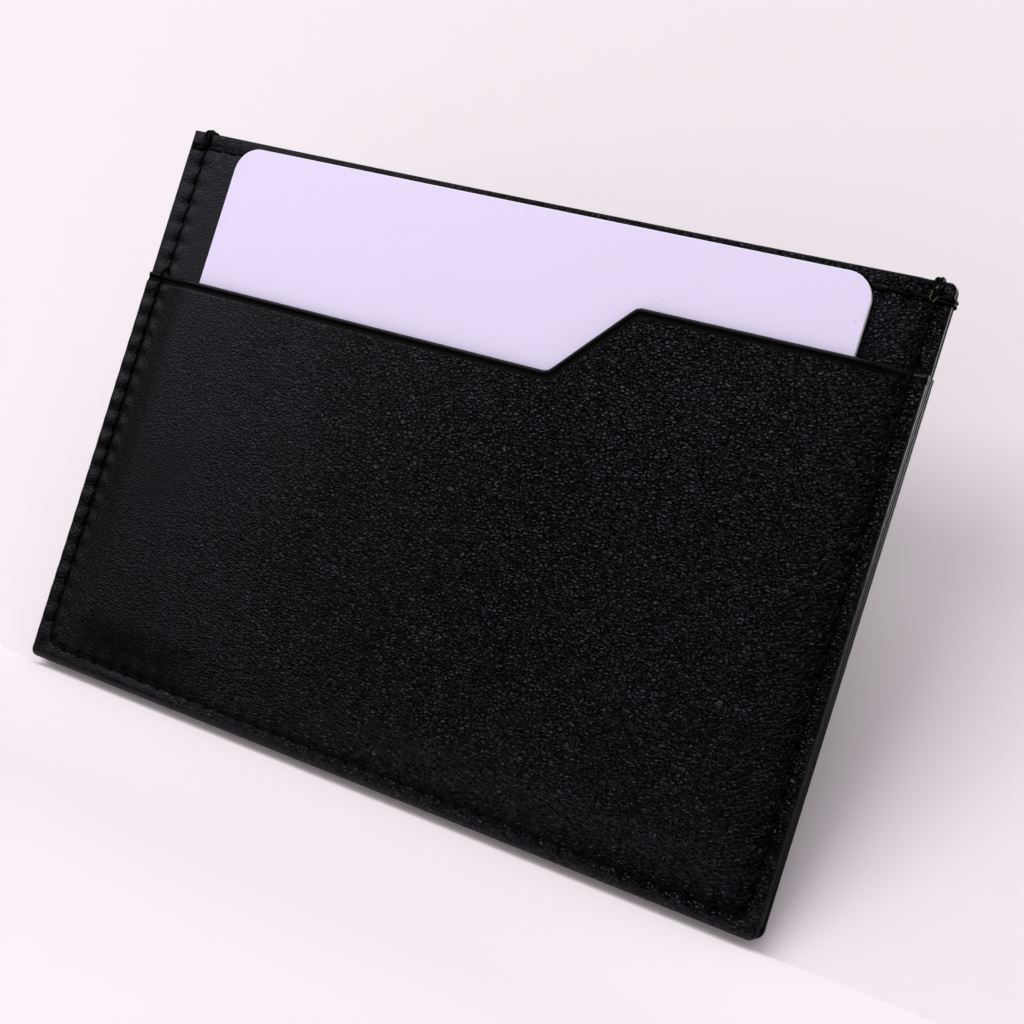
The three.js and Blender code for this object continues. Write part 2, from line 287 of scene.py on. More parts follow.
def room_for_card(x, z):
    """The swell inside the pocket, which starts nearer the seam and leaves the card its room."""
    s = sizes()
    across = smooth_step(3.0 * MM, 7.4 * MM, HALF_WIDTH - np.abs(x))
    up = smooth_step(3.0 * MM, 4.6 * MM, z)
    return SWELL * across * up


def edge_fall(rim, thickness):
    """How far a face falls back as it rounds over a cut edge."""
    reach = sizes().edge_round
    share = np.clip(1 - rim / reach, 0, 1)
    return thickness * 0.36 * (1 - np.sqrt(np.clip(1 - share**2, 0, 1)))


def flared(x, z):
    """Places across, spread a little towards the top as soft leather pockets are."""
    return x * (1 + sizes().flare * (z / HEIGHT - 0.5) / (2 * HALF_WIDTH))


def with_corners(x, z, low=0.0, top=None):
    """Places across, drawn in where the bottom corners and, with a top, the top corners are rounded."""
    s = sizes()
    radius = np.where(x < 0, s.sharp_corner, s.worn_corner)
    deep = np.clip(low + radius - z, 0, radius)
    if top is not None:
        deep = np.maximum(deep, np.clip(z - (top - radius), 0, radius))
    drawn_in = radius - np.sqrt(np.clip(radius**2 - deep**2, 0, None))
    return flared(x * (1 - drawn_in / HALF_WIDTH), z)


# ---- Mesh building ----

def sheet_mesh(name, outer, inner, rim_rows=3, bead_rows=0, groove_rows=0):
    """A closed sheet from the grids of its two faces. Its rim and the rows beside it are edge paint.
    Its first and last rows may be a painted bead with a pressed groove beyond."""
    rows, columns = outer.shape[:2]
    index = np.arange(rows * columns).reshape(rows, columns)
    quads = np.stack(
        [index[:-1, :-1], index[:-1, 1:], index[1:, 1:], index[1:, :-1]], axis=-1
    ).reshape(-1, 4)
    i, j = np.meshgrid(np.arange(rows - 1), np.arange(columns - 1), indexing="ij")
    from_end = np.minimum(i, rows - 2 - i)
    from_side = np.minimum(j, columns - 2 - j)
    painted = (np.minimum(from_end, from_side) < rim_rows) | (from_end < bead_rows)
    pressed = (from_end >= bead_rows) & (from_end < bead_rows + groove_rows)
    outside = np.where(pressed, 2, np.where(painted, 1, 0)).reshape(-1)
    inside = painted.reshape(-1).astype(int)
    count = rows * columns
    loop = np.concatenate(
        [index[0, :-1], index[:-1, -1], index[-1, :0:-1], index[:0:-1, 0]]
    )
    ahead = np.roll(loop, -1)
    rim = np.stack([ahead, loop, loop + count, ahead + count], axis=-1)
    faces = np.concatenate([quads, quads[:, ::-1] + count, rim])
    slots = np.concatenate([outside, inside, np.ones(len(rim), int)])
    places = np.concatenate([outer.reshape(-1, 3), inner.reshape(-1, 3)])
    return finished_mesh(name, places, faces.tolist(), slots)


def finished_mesh(name, places, faces, slots=None):
    mesh = bpy.data.meshes.new(name)
    mesh.from_pydata([tuple(p) for p in places], [], faces)
    if slots is not None:
        mesh.polygons.foreach_set("material_index", np.asarray(slots, dtype=np.int32))
    work = bmesh.new()
    work.from_mesh(mesh)
    bmesh.ops.recalc_face_normals(work, faces=work.faces)
    work.to_mesh(mesh)
    work.free()
    mesh.polygons.foreach_set("use_smooth", [True] * len(mesh.polygons))
    mesh.update()
    return mesh


def add_piece(mesh, materials, slot, *nodes, body=HOLDER):
    piece = bpy.data.objects.new(mesh.name, mesh)
    bpy.context.scene.collection.objects.link(piece)
    for material in materials:
        mesh.materials.append(material)
    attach(piece, body)
    if nodes:
        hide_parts(*nodes)
    return piece


def wall(x, z, level, side):
    """Grid places on one side of the mid-plane."""
    return np.stack([x, MID - side * level, z], axis=-1)


def pocket_rows(row_count, lowest):
    """The grid of one pocket wall from its mouth down: places across and up, and distance from a rim.
    Rows beside the mouth follow its outline, and the rest spread evenly down to the fold."""
    s = sizes()
    columns = spread(-HALF_WIDTH, HALF_WIDTH, 0.3 * MM, 0.55 * MM, 3.9 * MM)
    mouth, into = mouth_line(columns)
    bead = s.bead * np.array([0, 0.08, 0.2, 0.36, 0.55, 0.75, 0.9, 1])
    groove = s.bead + s.groove * np.array([0.15, 0.35, 0.6, 0.8, 1, 1.2, 1.5])
    beside = np.concatenate([bead, groove])
    x = columns[None, :] + into[None, :, 0] * beside[:, None]
    z = mouth[None, :] + into[None, :, 1] * beside[:, None]
    share = np.linspace(0, 1, row_count + 1)[1:, None]
    x_down = x[-1:] + (columns[None, :] - x[-1:]) * smooth_step(0, 0.25, share)
    z_down = z[-1:] + (lowest - z[-1:]) * share
    x = np.concatenate([x, x_down])
    z = np.concatenate([z, z_down])
    from_mouth = np.concatenate([beside, np.full(row_count, beside[-1])])[:, None]
    from_mouth = from_mouth + np.zeros_like(x)
    from_side = HALF_WIDTH - np.abs(columns[None, :]) + np.zeros_like(x)
    return x, z, from_mouth, from_side


def mouth_relief(from_mouth):
    """How far the bead along the mouth and the pressed groove below it lie under the leather's face."""
    s = sizes()
    t = np.clip(from_mouth / s.bead, 0, 1)
    bead = 0.42 * s.groove_depth * (1 - np.sqrt(np.clip(1 - (2 * t - 1) ** 2, 0, 1)))
    into = (from_mouth - s.bead) / s.groove
    falls = smooth_step(-0.12, 0.28, into)
    rises = 1 - smooth_step(0.8, 1.2, into)
    return bead * (1 - falls) + s.groove_depth * falls * rises


def pocket_wall(side, row_count, lowest):
    """Both faces of one pocket wall of the outer leather."""
    x, z, from_mouth, from_side = pocket_rows(row_count, lowest)
    thickness = OUTER_FACE - LINING_FACE
    relief = seam_relief(x, z)
    base = OUTER_FACE - relief * 0.9 + undulation(x, z, side) * 0.8
    if side > 0:
        base = base + swell_over_card(x, z)
    fall = np.maximum(edge_fall(from_side, thickness), edge_fall(from_mouth * 1.6, thickness * 0.9))
    outer = base - mouth_relief(from_mouth) - fall
    outer = np.minimum(outer, OUTER_FACE + (SWELL if side > 0 else 0) + 0.15 * MM)
    inner = LINING_FACE + (room_for_card(x, z) if side > 0 else 0) + 0.02 * MM
    inner = np.minimum(inner, outer - 0.25 * thickness) + fall * 0.3
    x = with_corners(x, z)
    return wall(x, z, outer, side), wall(x, z, inner, side)


def fold_rows(columns, steps):
    """The round of the fold under both walls, from the front to the rear."""
    turn = np.linspace(0, math.pi / 2, steps + 1)

    def rounded(face, radius, foot):
        level = face - radius + radius * np.cos(turn)
        rise = foot + radius - radius * np.sin(turn)
        return np.concatenate([level, -level[::-1]]), np.concatenate([rise, rise[::-1]])

    depth = OUTER_FACE
    foot = INNER_FOOT - FOLD_ROOM
    level, z = rounded(depth, FOLD, 0.0)
    level_in, z_in = rounded(LINING_FACE + FOLD_ROOM, INNER_FOLD, foot)
    x = with_corners(columns[None, :] + 0 * z[:, None], z[:, None])
    rim = HALF_WIDTH - np.abs(columns[None, :]) + np.zeros_like(x)
    fall = edge_fall(rim, foot)
    shrink = 1 - fall / (2 * depth)
    outer = np.stack([x, MID - level[:, None] * shrink, z[:, None] + fall * 0.6], axis=-1)
    inner = np.stack([x, MID - level_in[:, None] + 0 * x, z_in[:, None] - fall * 0.6], axis=-1)
    return outer, inner


def build_outer_leather():
    front_out, front_in = pocket_wall(1, 104, 1.75 * MM)
    rear_out, rear_in = pocket_wall(-1, 88, 1.75 * MM)
    columns = spread(-HALF_WIDTH, HALF_WIDTH, 0.3 * MM, 0.55 * MM, 3.9 * MM)
    fold_out, fold_in = fold_rows(columns, 6)
    outer = np.concatenate([front_out, fold_out, rear_out[::-1]])
    inner = np.concatenate([front_in, fold_in, rear_in[::-1]])
    mesh = sheet_mesh("outer_leather_skin", outer, inner, bead_rows=7, groove_rows=5)
    materials = [leather_material("pebbled_leather", 1.0), paint_material(), groove_material()]
    add_piece(mesh, materials, "grain_leather", "outer_leather")


def divider_rows():
    """The grid of a divider from its top edge down, fine where it shows above the pockets."""
    s = sizes()
    columns = spread(-HALF_WIDTH - s.overhang, HALF_WIDTH, 0.3 * MM, 0.55 * MM, 3.9 * MM)
    beside = np.array([0, 0.04, 0.1, 0.18, 0.3, 0.45, 0.6, 0.8]) * MM
    shown = np.arange(1.05 * MM, HEIGHT - s.low_mouth + 1.5 * MM, 0.45 * MM)
    hidden = np.linspace(HEIGHT - s.low_mouth + 5 * MM, TOP_EDGE - INNER_FOOT - 0.3 * MM, 10)
    foot = TOP_EDGE - INNER_FOOT - np.array([0.18, 0.1, 0.04, 0]) * MM
    down = np.concatenate([beside, shown, hidden, foot])
    sag = s.sag * (1 - np.clip(columns / HALF_WIDTH, -1, 1) ** 2)
    z = TOP_EDGE - down[:, None] - sag[None, :] * np.exp(-(down[:, None] / (25 * MM)))
    x = columns[None, :] + np.zeros_like(z)
    from_side = np.minimum(HALF_WIDTH - x, x + HALF_WIDTH + s.overhang)
    rim = np.minimum(from_side, np.minimum(down, down[-1] - down)[:, None])
    return x, z, rim


def build_divider(name, side):
    x, z, rim = divider_rows()
    thickness = DIVIDER_FACE - DIVIDER_BACK
    mouth, _ = mouth_line(x[0])
    shows = smooth_step(-0.5 * MM, 0.2 * MM, z - mouth[None, :] + 0.2 * MM)
    relief = np.maximum(seam_relief(x, z), row_relief(x, z))
    fall = edge_fall(rim, thickness)
    waves = undulation(x, z, 2.0 * side) * 0.5 * shows
    press = 0.0
    if side > 0:
        # The card lies over the row and presses it flatter.
        waves = waves * smooth_step(0, 1.2 * MM, np.abs(x) - CARD_HIGH.x)
        press = 0.35 * smooth_step(-1 * MM, 1 * MM, CARD_HIGH.x - np.abs(x))
    outer = DIVIDER_FACE - relief * shows * (0.85 - press) + np.minimum(waves, 0.03 * MM) - fall
    inner = DIVIDER_BACK + fall + np.zeros_like(x)
    x = with_corners(x, z, low=INNER_FOOT, top=TOP_EDGE)
    return sheet_mesh(name, wall(x, z, outer, side), wall(x, z, inner, side))


def build_lining(name, side, back, face, mouth_inset=None, swelled=False):
    """A thin smooth lining sheet, with fewer points because little of it shows."""
    s = sizes()
    columns = spread(-HALF_WIDTH + 0.15 * MM, HALF_WIDTH - 0.15 * MM, 0.6 * MM, 1.1 * MM, 4.2 * MM)
    if mouth_inset is None:
        top = HEIGHT - 0.35 * MM - s.sag * (1 - (columns / HALF_WIDTH) ** 2)
    else:
        top = mouth_line(columns)[0] - mouth_inset
    share = np.concatenate([np.linspace(0, 0.90, 30), np.linspace(0.905, 0.985, 22), [0.994, 1.0]])
    foot = INNER_FOOT + 0.1 * MM
    z = top[None, :] + (foot - top[None, :]) * share[:, None]
    x = columns[None, :] + np.zeros_like(z)
    lift = room_for_card(x, z) if swelled else 0.0
    x = with_corners(x, z, low=foot, top=HEIGHT if mouth_inset is None else None)
    outer = wall(x, z, face + lift + np.zeros_like(x), side)
    inner = wall(x, z, back + lift + np.zeros_like(x), side)
    return sheet_mesh(name, outer, inner, rim_rows=0)


# ---- Thread ----

class Thread:
    """Collects twisted thread lengths into one mesh."""

    def __init__(self):
        self.places = []
        self.faces = []

    def add(self, points, radii, twist_start=0.0, around=10):
        """One length of two-ply thread through the points, with closed ends."""
        points = np.asarray(points, float)
        tangents = np.gradient(points, axis=0)
        tangents /= np.linalg.norm(tangents, axis=1, keepdims=True)
        steps = np.linalg.norm(np.diff(points, axis=0), axis=1)
        run = np.concatenate([[0], np.cumsum(steps)])
        normal = np.cross(tangents[0], [0.31, 0.13, 0.94])
        if np.linalg.norm(normal) < 0.2:
            normal = np.cross(tangents[0], [0.94, 0.31, 0.13])
        start = len(self.places)
        lay = 1.5 * MM
        for point, tangent, radius, place in zip(points, tangents, radii, run):
            normal = normal - tangent * normal.dot(tangent)
            normal /= np.linalg.norm(normal)
            other = np.cross(tangent, normal)
            for k in range(around):
                angle = 2 * math.pi * k / around
                ply = 1 + 0.13 * math.cos(2 * angle - 2 * math.pi * place / lay + twist_start)
                offset = normal * math.cos(angle) + other * math.sin(angle)
                self.places.append(tuple(point + offset * radius * ply))
        rings = len(points)
        for i in range(rings - 1):
            for k in range(around):
                a = start + i * around + k
                b = start + i * around + (k + 1) % around
                self.faces.append((a, b, b + around, a + around))
        self.faces.append(tuple(start + k for k in reversed(range(around))))
        last = start + (rings - 1) * around
        self.faces.append(tuple(last + k for k in range(around)))

    def piece(self, name, *nodes):
        mesh = finished_mesh(name, self.places, self.faces)
        return add_piece(mesh, [thread_material()], "thread", *nodes)


def seam_path(count):
    """Needle holes of the side and bottom seam, from the top left, as places across and up."""
    s = sizes()
    seam_x = HALF_WIDTH - s.seam_inset
    centre_x = seam_x - s.seam_turn
    centre_z = s.bottom_seam + s.seam_turn
    top = HEIGHT - s.top_seam
    side_run = top - centre_z
    arc = math.pi / 2 * s.seam_turn
    total = 2 * (side_run + arc + centre_x)
    holes = []
    for i in range(count + 1):
        run = total * i / count
        mirror = run > total / 2
        run = total - run if mirror else run
        if run < side_run:
            place = (-seam_x, top - run)
        elif run < side_run + arc:
            angle = (run - side_run) / s.seam_turn
            place = (
                -centre_x - s.seam_turn * math.cos(angle),
                centre_z - s.seam_turn * math.sin(angle),
            )
        else:
            place = (-centre_x + run - side_run - arc, s.bottom_seam)
        holes.append((-place[0], place[1]) if mirror else place)
    return holes


def seam_length():
    s = sizes()
    seam_x = HALF_WIDTH - s.seam_inset
    centre_z = s.bottom_seam + s.seam_turn
    side_run = HEIGHT - s.top_seam - centre_z
    return 2 * (side_run + math.pi / 2 * s.seam_turn + seam_x - s.seam_turn)


def add_stitch(thread, first, second, level_first, level_second, side, seed, bow=0.0):
    """One stitch between two needle holes. It stands up in the middle, dips into the leather and may
    bow to one side."""
    s = sizes()
    first, second = np.array(first), np.array(second)
    along = second - first
    length_here = np.linalg.norm(along)
    along = along / length_here
    across = np.array([-along[1], along[0]])
    wobble = math.sin(seed * 12.9898) * 0.03 * MM
    slant = 0.1 * MM + wobble
    share = np.linspace(0, 1, 13)
    body = np.sin(math.pi * share)
    flat = first[None, :] + along[None, :] * (0.1 * MM + (length_here - 0.2 * MM) * share)[:, None]
    flat = flat + across[None, :] * (slant * np.cos(math.pi * share) + bow * (body - 0.5))[:, None]
    rest = level_first + (level_second - level_first) * smooth_step(0.25, 0.75, share)
    height = -0.46 * MM + (0.32 * MM + wobble) * body**0.42
    level = rest + height
    points = np.stack([flat[:, 0], MID - side * level, flat[:, 1]], axis=-1)
    radii = s.thread * (0.72 + 0.28 * body**0.5)
    thread.add(points, radii, seed * 1.7)


def mouth_height(x):
    return HIGH_MOUTH if x > 0 else sizes().low_mouth


def build_seam(name, node, side):
    s = sizes()
    count = round(seam_length() / s.stitch)
    holes = seam_path(count)
    thread = Thread()

    def level(hole):
        shown = OUTER_FACE if hole[1] < mouth_height(hole[0]) + 0.3 * MM else DIVIDER_FACE
        return shown - 0.12 * MM * smooth_step(0, 40 * MM, hole[0])

    for i in range(count):
        bow = 0.34 * MM if max(holes[i][1], holes[i + 1][1]) < s.bottom_seam + 0.5 * MM else 0.08 * MM
        add_stitch(
            thread, holes[i], holes[i + 1], level(holes[i]), level(holes[i + 1]), side, i + 3 * side, bow
        )
    for sign in (-1, 1):
        add_top_loops(thread, sign, side)
    thread.piece(name, node)


def add_top_loops(thread, sign, side):
    """The seam's end: two turns of thread from the last hole up over the top edge."""
    s = sizes()
    x = sign * (HALF_WIDTH - s.seam_inset)
    hole = HEIGHT - s.top_seam
    over = TOP_EDGE - 0.04 * MM
    for shift, tall in ((-0.26 * MM, 0.0), (0.22 * MM, 0.05 * MM)):
        reach = DIVIDER_FACE + 0.06 * MM
        plan = [
            (x + shift * 0.2, reach - 0.35 * MM, hole - 0.05 * MM),
            (x + shift * 0.5, reach + 0.05 * MM, hole + 0.25 * MM),
            (x + shift * 0.9, reach + 0.12 * MM, hole + 0.9 * MM),
            (x + shift, reach + 0.1 * MM, over - 0.25 * MM + tall),
            (x + shift, reach - 0.12 * MM, over + 0.1 * MM + tall),
            (x + shift, reach - 0.4 * MM, over + 0.18 * MM + tall),
            (x + shift, -0.05 * MM, over + 0.16 * MM + tall),
        ]
        points = smooth_route([(px, MID - side * level, pz) for px, level, pz in plan], 4)
        radii = np.full(len(points), s.thread * 0.95)
        thread.add(points, radii * 1.12, shift * 4000)


def smooth_route(points, between):
    """A round route through the points, with more points between them."""
    points = [Vector(p) for p in points]
    ends = [points[0] * 2 - points[1], *points, points[-1] * 2 - points[-2]]
    route = []
    for i in range(1, len(ends) - 2):
        a, b, c, d = ends[i - 1:i + 3]
        for k in range(between):
            t = k / between
            route.append(
                0.5 * (2 * b + (c - a) * t + (2 * a - 5 * b + 4 * c - d) * t**2
                       + (3 * b - a - 3 * c + d) * t**3)
            )
    route.append(points[-1])
    return [tuple(p) for p in route]


def build_top_row(name, node, side):
    s = sizes()
    seam_x = HALF_WIDTH - s.seam_inset
    count = round(2 * seam_x / s.stitch)
    z = HEIGHT - s.top_seam
    thread = Thread()
    for i in range(count):
        ends = [-seam_x + 2 * seam_x * (i + k) / count for k in (0, 1)]
        sunk = [
            DIVIDER_FACE - (0.2 * MM if side > 0 and abs(e) < CARD_HIGH.x + 0.4 * MM else 0.0)
            for e in ends
        ]
        add_stitch(thread, (ends[0], z), (ends[1], z), sunk[0], sunk[1], side, i + 41 * side)
    thread.piece(name, node)


def build_side_loops(name, node, sign):
    """Two turns of thread round a side edge, where the topstitch rows end."""
    s = sizes()
    thread = Thread()
    z = HEIGHT - s.top_seam
    inner = sign * (HALF_WIDTH - s.seam_inset)
    past = sign * (HALF_WIDTH + 0.06 * MM)
    for shift in (-0.24 * MM, 0.24 * MM):
        reach = DIVIDER_FACE + 0.06 * MM
        half = [
            (inner, reach - 0.35 * MM, z + shift * 0.2),
            (inner + sign * 0.4 * MM, reach + 0.05 * MM, z + shift * 0.6),
            (inner + sign * 1.2 * MM, reach + 0.08 * MM, z + shift),
            (past - sign * 0.25 * MM, reach + 0.04 * MM, z + shift),
            (past + sign * 0.08 * MM, reach - 0.25 * MM, z + shift),
        ]
        back = [(px, -level, pz) for px, level, pz in reversed(half)]
        points = smooth_route([(px, MID - level, pz) for px, level, pz in half + back], 4)
        thread.add(points, np.full(len(points), s.thread * 0.9), shift * 3000)
    thread.piece(name, node)


def build_frayed_ends():
    """Pale broken fibres where the front seam ends at the top right. Each row below is one fibre, in
    millimetres from the last needle hole: start across and up, then end across and up."""
    s = sizes()
    fibres = (
        (-0.35, 0.15, 0.05, 1.10), (-0.10, -0.05, 0.30, 0.85), (-0.45, -0.25, -0.10, 0.55),
        (0.15, 0.30, 0.45, 1.45), (-0.20, 0.55, 0.20, 1.70), (0.05, -0.35, 0.40, 0.35),
        (-0.55, 0.05, -0.25, 0.95), (0.25, 0.75, 0.05, 1.55),
    )
    thread = Thread()
    for i, (x0, z0, x1, z1) in enumerate(fibres):
        route = []
        for share, lift in ((0, -0.1), (0.3, 0.30), (0.7, 0.38), (1, 0.2)):
            across = x0 + (x1 - x0) * share + 0.12 * math.sin(5 * share + i)
            up = z0 + (z1 - z0) * share
            route.append((
                HALF_WIDTH - s.seam_inset + across * MM,
                MID - DIVIDER_FACE - lift * MM,
                HEIGHT - s.top_seam + up * MM,
            ))
        points = smooth_route(route, 4)
        taper = np.linspace(1.0, 0.45, len(points))
        thread.add(points, 0.055 * MM * taper, i, around=6)
    mesh = finished_mesh("frayed_ends", thread.places, thread.faces)
    add_piece(mesh, [fibre_material()], "thread")


# ---- Card ----

def build_card():
    """A blank card: rounded corners, thin rounded rims and flat faces."""
    s = sizes()
    rim_radius = 0.09 * MM
    centre = (CARD_LOW + CARD_HIGH) / 2
    half = (CARD_HIGH - CARD_LOW) / 2

    def outline(inset):
        radius = max(s.card_corner - inset, 0.2 * MM)
        ring = []
        for corner, (sx, sz) in enumerate(((1, 1), (-1, 1), (-1, -1), (1, -1))):
            for k in range(17):
                angle = math.pi / 2 * (corner + k / 16)
                ring.append((
                    centre.x + sx * (half.x - inset - radius) + radius * math.cos(angle),
                    centre.z + sz * (half.z - inset - radius) + radius * math.sin(angle),
                ))
        return ring

    layers = []
    for face in (-1, 1):
        stations = [(6 * MM, 0), (1.2 * MM, 0), (0.35 * MM, 0)]
        for k in range(5):
            turn = math.pi / 2 * k / 4
            stations.append((rim_radius * (1 - math.sin(turn)), rim_radius * (1 - math.cos(turn))))
        if face > 0:
            stations.reverse()
        layers += [(inset, centre.y + face * (half.y - back)) for inset, back in stations]
    places = []
    for inset, y in layers:
        places += [(x, y, z) for x, z in outline(inset)]
    around = 68
    faces = []
    slots = []
    for i in range(len(layers) - 1):
        for k in range(around):
            a, b = i * around + k, i * around + (k + 1) % around
            faces.append((a, b, b + around, a + around))
            # The rim bands take the near-white painted highlight.
            slots.append(1 if 4 <= i <= 10 else 0)
    faces.append(tuple(reversed(range(around))))
    faces.append(tuple(range((len(layers) - 1) * around, len(layers) * around)))
    slots += [0, 0]
    mesh = finished_mesh("blank_card", places, faces, slots)
    add_piece(mesh, [card_material(), card_rim_highlight_material()], "card_plastic", "card", body="card")


# ---- Material building ----

def new_material(name):
    material = bpy.data.materials.get(name)
    if material:
        return material, None, None
    material = bpy.data.materials.new(name)
    material.use_nodes = True
    nodes = material.node_tree.nodes
    return material, nodes, nodes["Principled BSDF"]


def group_socket(group, name, kind, way, default=None):
    socket = group.interface.new_socket(name=name, in_out=way, socket_type=kind)
    if default is not None:
        socket.default_value = default
    return socket


def maths(nodes, links, operation, first, second=None, third=None):
    node = nodes.new("ShaderNodeMath")
    node.operation = operation
    for place, value in enumerate((first, second, third)):
        if value is None:
            continue
        if isinstance(value, (int, float)):
            node.inputs[place].default_value = value
        else:
            links.new(value, node.inputs[place])
    return node.outputs[0]


def remap(nodes, links, value, low, high, to_low, to_high):
    node = nodes.new("ShaderNodeMapRange")
    links.new(value, node.inputs["Value"])
    node.inputs["From Min"].default_value = low
    node.inputs["From Max"].default_value = high
    node.inputs["To Min"].default_value = to_low
    node.inputs["To Max"].default_value = to_high
    return node.outputs["Result"]


def noise(nodes, links, place, scale, detail=2.0, roughness=0.5):
    node = nodes.new("ShaderNodeTexNoise")
    node.inputs["Detail"].default_value = detail
    node.inputs["Roughness"].default_value = roughness
    node.inputs["Scale"].default_value = scale
    links.new(place, node.inputs["Vector"])
    return node


def pebble_grain_group():
    """Pebbled leather grain: rounded pebbles, drawn out a little, with creases between them."""
    name = "Pebble grain"
    if name in bpy.data.node_groups:
        return bpy.data.node_groups[name]
    group = bpy.data.node_groups.new(name, "ShaderNodeTree")
    group_socket(group, "Pebble width", "NodeSocketFloat", "INPUT", 0.00046)
    group_socket(group, "Crease sharpness", "NodeSocketFloat", "INPUT", 0.16)
    for output in ("Height", "Crease", "Pebble shade", "Broad"):
        group_socket(group, output, "NodeSocketFloat", "OUTPUT")
    nodes, links = group.nodes, group.links
    given = nodes.new("NodeGroupInput")
    out = nodes.new("NodeGroupOutput")
    place = nodes.new("ShaderNodeTexCoord").outputs["Object"]
    scale = maths(nodes, links, "DIVIDE", 1.0, given.outputs["Pebble width"])
    # The pebbles lean and are longer one way than the other.
    lean = nodes.new("ShaderNodeMapping")
    lean.inputs["Rotation"].default_value = (0.0, math.radians(28), 0.0)
    lean.inputs["Scale"].default_value = (0.72, 1.0, 1.2)
    links.new(place, lean.inputs["Vector"])
    warp = noise(nodes, links, place, 900.0, 2.0)
    shift = nodes.new("ShaderNodeVectorMath")
    shift.operation = "MULTIPLY_ADD"
    links.new(warp.outputs["Color"], shift.inputs[0])
    shift.inputs[1].default_value = (0.00035, 0.00035, 0.00035)
    links.new(lean.outputs["Vector"], shift.inputs[2])
    edge = nodes.new("ShaderNodeTexVoronoi")
    edge.feature = "DISTANCE_TO_EDGE"
    cell = nodes.new("ShaderNodeTexVoronoi")
    cell.feature = "F1"
    for voronoi in (edge, cell):
        links.new(shift.outputs[0], voronoi.inputs["Vector"])
        links.new(scale, voronoi.inputs["Scale"])
        voronoi.inputs["Randomness"].default_value = 0.92
    ramp = nodes.new("ShaderNodeMapRange")
    ramp.interpolation_type = "SMOOTHSTEP"
    links.new(edge.outputs["Distance"], ramp.inputs["Value"])
    ramp.inputs["From Min"].default_value = 0.0
    links.new(given.outputs["Crease sharpness"], ramp.inputs["From Max"])
    shade = nodes.new("ShaderNodeSeparateColor")
    links.new(cell.outputs["Color"], shade.inputs["Color"])
    tall = remap(nodes, links, shade.outputs[0], 0.0, 1.0, 0.62, 1.0)
    dome = maths(nodes, links, "MULTIPLY", ramp.outputs["Result"], tall)
    from_edge = maths(nodes, links, "MINIMUM", edge.outputs["Distance"], 0.5)
    round_top = maths(nodes, links, "POWER", from_edge, 0.6)
    crown = maths(nodes, links, "MULTIPLY_ADD", round_top, 0.55, dome)
    lumps = noise(nodes, links, lean.outputs["Vector"], 2800.0, 1.0, 0.5)
    fine = maths(nodes, links, "MULTIPLY_ADD", lumps.outputs["Fac"], 1.0, crown)
    broad = noise(nodes, links, place, 55.0, 3.0)
    links.new(fine, out.inputs["Height"])
    links.new(ramp.outputs["Result"], out.inputs["Crease"])
    links.new(shade.outputs[1], out.inputs["Pebble shade"])
    links.new(broad.outputs["Fac"], out.inputs["Broad"])
    return group


def dust_group():
    """Sparse fine dust: a mask of small specks."""
    name = "Fine dust"
    if name in bpy.data.node_groups:
        return bpy.data.node_groups[name]
    group = bpy.data.node_groups.new(name, "ShaderNodeTree")
    group_socket(group, "Spacing", "NodeSocketFloat", "INPUT", 0.004)
    group_socket(group, "Speck size", "NodeSocketFloat", "INPUT", 0.05)
    group_socket(group, "Mask", "NodeSocketFloat", "OUTPUT")
    nodes, links = group.nodes, group.links
    given = nodes.new("NodeGroupInput")
    out = nodes.new("NodeGroupOutput")
    place = nodes.new("ShaderNodeTexCoord").outputs["Object"]
    speck = nodes.new("ShaderNodeTexVoronoi")
    links.new(place, speck.inputs["Vector"])
    links.new(maths(nodes, links, "DIVIDE", 1.0, given.outputs["Spacing"]), speck.inputs["Scale"])
    small = maths(nodes, links, "LESS_THAN", speck.outputs["Distance"], given.outputs["Speck size"])
    shade = nodes.new("ShaderNodeSeparateColor")
    links.new(speck.outputs["Color"], shade.inputs["Color"])
    some = maths(nodes, links, "GREATER_THAN", shade.outputs[0], 0.55)
    links.new(maths(nodes, links, "MULTIPLY", small, some), out.inputs["Mask"])
    return group


def use_group(nodes, group, **values):
    node = nodes.new("ShaderNodeGroup")
    node.node_tree = group
    for name, value in values.items():
        node.inputs[name.replace("_", " ")].default_value = value
    return node


def mix_colour(nodes, links, factor, first, second):
    node = nodes.new("ShaderNodeMix")
    node.data_type = "RGBA"
    links.new(factor, node.inputs["Factor"])
    for socket, value in ((node.inputs[6], first), (node.inputs[7], second)):
        if hasattr(value, "is_linked") or hasattr(value, "links"):
            links.new(value, socket)
        else:
            socket.default_value = tuple(value)
    return node.outputs[2]


def bump(nodes, links, height, strength, distance, shader):
    node = nodes.new("ShaderNodeBump")
    node.inputs["Strength"].default_value = strength
    node.inputs["Distance"].default_value = distance
    links.new(height, node.inputs["Height"])
    links.new(node.outputs["Normal"], shader.inputs["Normal"])


